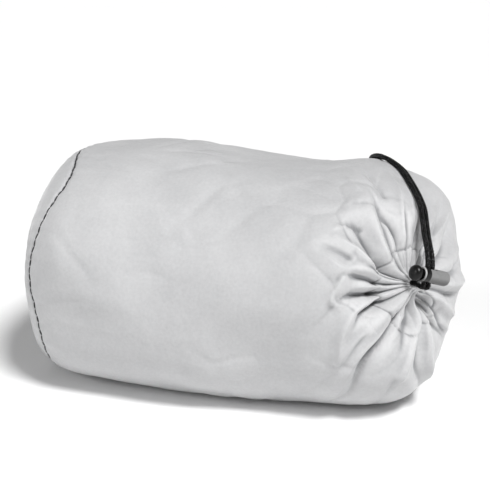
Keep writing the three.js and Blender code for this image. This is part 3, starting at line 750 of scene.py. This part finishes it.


# How far each place near the mouth lies below the cloth around it, in millimetres; the cloth's colour takes
# it as painted shade in creases and painted light on crests
def hollowShadeOf(points):
    ring = points[:, :-1]
    x = ring[..., 0]
    heart = np.stack([np.clip(x, hollowShade["heartFrom"], hollowShade["heartTo"]), 0 * x,
                      np.full(x.shape, hollowShade["heartHeight"])], axis=-1)
    outward = unit(ring - heart)
    below = np.zeros(x.shape)
    for step in hollowShade["steps"]:
        around = (np.roll(ring, step, 1) + np.roll(ring, -step, 1)) / 2
        below += ((around - ring) * outward).sum(-1)
        padded = np.pad(ring, ((step, step), (0, 0), (0, 0)), mode="edge")
        around = (padded[2 * step:] + padded[:-2 * step]) / 2
        below += hollowShade["outwards"] * ((around - ring) * outward).sum(-1)
    away = np.linalg.norm(ring - mouthShade["centre"], axis=-1)
    fade = 1 - smooth((away - hollowShade["wholeTo"]) / hollowShade["fade"])
    below = np.clip(below, hollowShade["least"], hollowShade["most"]) * fade
    return np.concatenate([below, below[:, :1]], axis=1)


def rowLengths(points):
    steps = np.linalg.norm(np.diff(points, axis=0), axis=2).mean(1)
    return np.concatenate([[0], np.cumsum(steps)])


# Weave and tones of the cloth; the three shares mix clouds, specks and weave into its tone, the hollow share
# is painted shade in creases and painted light on crests, and the inside tone is painted shade in the mouth
clothLook = {
    "threadPitch": 0.42, "cloud": 0.45, "speck": 0.3, "weave": 0.14, "hollowShade": 0.55,
    "dark": (0.3, 0.303, 0.312), "light": (0.64, 0.64, 0.645), "inside": (0.004, 0.004, 0.004, 1),
    "smoothest": 0.42, "roughest": 0.6,
}


def clothFinish(name):
    finish = Finish(name, Sheen_Weight=0.35, Sheen_Roughness=0.35, IOR=1.45, Specular_IOR_Level=0.4)
    place = finish.node("TexCoord")["Object"]
    cloud = finish.node("TexNoise", Vector=place, Scale=38.0, Detail=4.0, Roughness=0.55)[0]
    speck = finish.node("TexNoise", Vector=place, Scale=700.0, Detail=2.0, Roughness=0.6)[0]
    threads = finish.node("UVMap", {"uv_map": "surface"})[0]
    axes = finish.node("SeparateXYZ", at0=threads)
    u, v = (finish.calc("DIVIDE", axes[i], clothLook["threadPitch"]) for i in (0, 1))
    warp, weft = (finish.calc("ABSOLUTE", finish.calc("SINE", finish.calc("MULTIPLY", axis, math.pi)))
                  for axis in (u, v))
    over = finish.node("TexChecker", Vector=finish.node("CombineXYZ", at0=u, at1=v)[0], Scale=1.0)[1]
    weave = finish.node("Mix", at0=over, at2=warp, at3=weft)[0]
    tone = finish.calc("ADD", finish.calc("MULTIPLY", cloud, clothLook["cloud"]),
                       finish.calc("MULTIPLY", speck, clothLook["speck"]))
    woven = finish.calc("MULTIPLY_ADD", weave, clothLook["weave"], clothLook["weave"])
    tone = finish.calc("ADD", tone, woven)
    # Painted shade in creases and painted light on crests: the tone drops where the cloth lies below its
    # neighbours
    below = finish.node("Attribute", {"attribute_name": "hollowShade"})[2]
    tone = finish.calc("SUBTRACT", tone, finish.calc("MULTIPLY", below, clothLook["hollowShade"]))
    cloth = finish.shades(finish.node("Clamp", at0=tone)[0], clothLook["dark"], clothLook["light"])
    # Painted shade: near the mouth the cloth's colour mixes to the near-black inside tone
    start, reach = (np.array(mouthShade[key]) * mm for key in ("centre", "reach"))
    local = finish.node("VectorMath", {"operation": "SUBTRACT"}, at0=place, at1=tuple(start))[0]
    share = finish.node("VectorMath", {"operation": "DOT_PRODUCT"}, at0=local,
                        at1=tuple(reach / (reach @ reach)))[1]
    share = finish.node("Clamp", at0=share)[0]
    spot = finish.node("VectorMath", {"operation": "SCALE"}, at0=tuple(reach), Scale=share)[0]
    far = finish.node("VectorMath", {"operation": "DISTANCE"}, at0=local, at1=spot)[1]
    lit = finish.node("MapRange", {"interpolation_type": "SMOOTHSTEP"}, at0=far, at1=mouthShade["inner"] * mm,
                      at2=mouthShade["outer"] * mm)[0]
    finish.join(finish.node("Mix", {"data_type": "RGBA"}, at0=lit, at6=clothLook["inside"], at7=cloth)[2],
                "Base Color")
    finish.join(finish.between(cloud, clothLook["smoothest"], clothLook["roughest"]), "Roughness")
    creased = finish.node("TexNoise", Vector=place, Scale=150.0, Detail=5.0, Roughness=0.55,
                          Distortion=0.4)[0]
    bump = finish.node("Bump", Height=creased, Strength=0.34, Distance=0.0009)[0]
    bump = finish.node("Bump", Height=weave, Strength=0.3, Distance=0.00006, Normal=bump)[0]
    finish.join(bump, "Normal")
    return finish.material


greyCloth = clothFinish("greyWovenCloth")
points = sackPoints()
sackMesh = toMesh(skin(points, hollowShadeOf(points)), "sackCloth")
scaleUv(sackMesh, sack["girth"], rowLengths(points))
sackCloth = asPiece(sackMesh, greyCloth)
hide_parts("sack_body")
print("sack cloth made")

# End panel: a dome and the shoulder from there to the seam
panel = {"bulge": 18.2, "fullness": 2.2, "domeRings": 40, "shoulderRings": 20, "gap": 0.35, "hemShare": 0.97,
         "pull": 0.7, "pullTurns": 3.2, "pullOutwards": 1.2, "pullFade": 1.6, "pullEdge": 6,
         "facet": 0.5, "facetSize": 24, "facetFade": 2.5}


def panelPoints():
    turn = np.linspace(0, 2 * np.pi, sack["columns"] + 1)
    turn[-1] = 0
    shoulder = np.full(turn.shape, float(sack["shoulderX"]))
    edge = sidePoint(shoulder, turn)
    middle = np.array((sack["shoulderX"], measure(1, np.array(sack["shoulderX"])), sack["axisHeight"]))
    share = np.cos(np.linspace(np.pi / 2, 0, panel["domeRings"]))[:, None, None]
    dome = middle + (edge - middle) * share
    spokes = np.stack([np.cos(turn), np.sin(turn), turn * 0], axis=-1) * panel["pullTurns"]
    pull = noiseAt(np.broadcast_to(spokes, dome.shape) + share * (0, 0, panel["pullOutwards"]), 1.0, 4.4)
    out = share[..., 0]
    ripple = panel["pull"] * pull * smooth(out * panel["pullFade"]) * (1 - out ** panel["pullEdge"])
    facets = creaseAt(dome, panel["facetSize"]) - wrinkles["crumpleLevel"]
    ripple = ripple - panel["facet"] * facets * smooth(panel["facetFade"] * (1 - out))
    dome[..., 0] = sack["shoulderX"] - panel["bulge"] * (1 - out ** panel["fullness"]) - ripple
    inward = np.linspace(0, 1, panel["shoulderRings"] + 1)[1:, None]
    x = sack["shoulderX"] + (seamPlace(turn) - panel["gap"] - sack["shoulderX"]) * inward
    side = sidePoint(x, np.broadcast_to(turn, x.shape))
    seamY = measure(1, np.array(sack["seamX"]))
    seamMiddle = np.array((sack["seamX"] - panel["gap"], seamY, sack["axisHeight"]))
    hem = seamMiddle + (side[-1] - seamMiddle) * panel["hemShare"]
    return np.concatenate([dome, side, hem[None], np.broadcast_to(seamMiddle, hem.shape)[None]])


points = panelPoints()
panelMesh = toMesh(skin(points), "endPanelCloth")
scaleUv(panelMesh, sack["girth"], rowLengths(points))
endPanelCloth = asPiece(panelMesh, greyCloth)
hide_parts("end_panel")
print("end panel made")


# The cord's last stretch, from the mouth's inside to where the strands come out
mouthCord = {"inside": 2, "overlap": 0.5, "straight": 0.7, "bend": 1.1, "drop": 1.6, "apart": 0.3,
             "rings": 70}


def mouthCordPieces():
    inside = np.array(mouthShade["centre"]) - mouthAxis * mouthCord["inside"]
    bm = bmesh.new()
    for strand in strands:
        first, along = strand["line"][0] * 1000, unit(strand["line"][0] - strand["line"][6])
        rows = [first - along * mouthCord["overlap"], first + along * mouthCord["straight"],
                first + along * mouthCord["bend"] - mouthAxis * mouthCord["drop"],
                inside + (first - np.array(exitFold["centre"])) * mouthCord["apart"]]
        part = braid(curvePoint(rows, np.linspace(0, 1, mouthCord["rings"])) * mm, "mouthCordPart")
        bm.from_mesh(part)
        bpy.data.meshes.remove(part)
    return toMesh(bm, "cordInMouth")


cordInMouth = asPiece(mouthCordPieces(), cordFinish.material)


# Stitches: one slim bead of thread for each, laid along a line on the cloth
def stitchRow(line, outward, pitch, thickness, fill, name, material):
    steps = np.linalg.norm(np.diff(line, axis=0), axis=1)
    lengths = np.concatenate([[0], np.cumsum(steps)])
    places = np.arange(int(lengths[-1] / pitch)) * pitch + pitch / 2
    bm = bmesh.new()
    for place in places:
        a, b, up = (np.array([np.interp(s, lengths, rows[:, k]) for k in range(3)])
                    for s, rows in ((place - 0.5 * pitch * fill, line), (place + 0.5 * pitch * fill, line),
                                    (place, outward)))
        along = Vector(b - a)
        side = Vector(up).cross(along).normalized()
        top = along.normalized().cross(side)
        shape = Matrix((side * thickness / 2, along / 2, top * thickness / 2)).transposed().to_4x4()
        bmesh.ops.create_icosphere(bm, subdivisions=2, radius=mm,
                                   matrix=Matrix.Translation(Vector((a + b) / 2) * mm) @ shape)
    return asPiece(toMesh(bm, name), material)


def threadFinish(name, dark, light):
    finish = Finish(name, Roughness=0.55, Sheen_Weight=0.1)
    place = finish.node("TexCoord")["Object"]
    twist = finish.node("TexNoise", Vector=place, Scale=1400.0, Detail=3.0, Roughness=0.6)[0]
    finish.join(finish.shades(twist, dark, light), "Base Color")
    finish.join(finish.node("Bump", Height=twist, Strength=0.4, Distance=0.00008)[0], "Normal")
    return finish.material


stitches = {"seamPitch": 3.4, "seamThickness": 0.95, "seamFill": 0.95, "seamLean": 0.15, "seamLift": 0.45,
            "seamSteps": 1440, "floorGap": 0.05, "casingPitch": 2.6, "casingThickness": 0.42,
            "casingFill": 0.8, "casingLift": 0.12, "casingSteps": 1800}
turns = np.linspace(0, 2 * np.pi, stitches["seamSteps"] + 1)
seamEdge = sidePoint(seamPlace(turns), turns)
seamOut = unit(np.stack([stitches["seamLean"] - 0 * turns, np.cos(turns), np.sin(turns)], axis=-1))
blackThread = threadFinish("blackThread", (0.008, 0.008, 0.009), (0.05, 0.05, 0.055))
threadLine = seamEdge + seamOut * stitches["seamLift"]
threadLine[:, 2] = np.maximum(threadLine[:, 2], stitches["seamThickness"] / 2 + stitches["floorGap"])
seamThread = stitchRow(threadLine, seamOut, stitches["seamPitch"], stitches["seamThickness"],
                       stitches["seamFill"], "seamThread", blackThread)

headings = np.linspace(0, 360, stitches["casingSteps"] + 1)
angles = casingLine(headings) / sack["clothRadius"]
h = np.radians(headings)
headingOut = np.cos(h)[:, None] * mouthRight + np.sin(h)[:, None] * mouthUp
directions = mouthAxis * np.cos(angles)[:, None] + headingOut * np.sin(angles)[:, None]
casingEdge = clothPoint(directions, angles, turnOf(headings), lift=stitches["casingLift"])
greyThread = threadFinish("greyThread", (0.25, 0.25, 0.26), (0.45, 0.45, 0.46))
casingThread = stitchRow(casingEdge, directions, stitches["casingPitch"], stitches["casingThickness"],
                         stitches["casingFill"], "casingThread", greyThread)
print("stitches made")

# Floor and light
studio = {"floor": 20.0, "floorTone": 0.95, "world": 0.2, "horizon": (0.04, 0.25)}
bm = bmesh.new()
bmesh.ops.create_grid(bm, x_segments=2, y_segments=2, size=studio["floor"] / 2)
floorMesh = toMesh(bm, "floor")
floorFinish = Finish("paleFloor", Roughness=0.7)
floorFinish.shader.inputs["Base Color"].default_value = (*[studio["floorTone"]] * 3, 1)
floorMesh.materials.append(floorFinish.material)
floor = bpy.data.objects.new("floor", floorMesh)
scene.collection.objects.link(floor)

world = bpy.data.worlds.new("studio")
world.use_nodes = True
sky = world.node_tree
up = sky.nodes.new("ShaderNodeSeparateXYZ")
glow = sky.nodes.new("ShaderNodeMapRange")
for socket, value in zip(glow.inputs[1:], (*studio["horizon"], 1.0, studio["world"])):
    socket.default_value = value
sky.links.new(sky.nodes.new("ShaderNodeTexCoord").outputs["Generated"], up.inputs[0])
sky.links.new(up.outputs[2], glow.inputs[0])
sky.links.new(glow.outputs[0], sky.nodes["Background"].inputs[1])
sky.nodes["Background"].inputs[0].default_value = (1, 1, 1, 1)
scene.world = world

lamps = [
    {"name": "key", "from": (0.5, -0.35, 0.95), "softness": 16, "power": 3.1},
    {"name": "side", "from": (-0.75, -0.75, 0.6), "softness": 20, "power": 0.6},
]
for lamp in lamps:
    light = bpy.data.lights.new(lamp["name"], "SUN")
    light.energy, light.angle = lamp["power"], math.radians(lamp["softness"])
    holder = bpy.data.objects.new(lamp["name"], light)
    holder.rotation_euler = Vector(lamp["from"]).to_track_quat("Z", "Y").to_euler()
    scene.collection.objects.link(holder)
print("studio made")
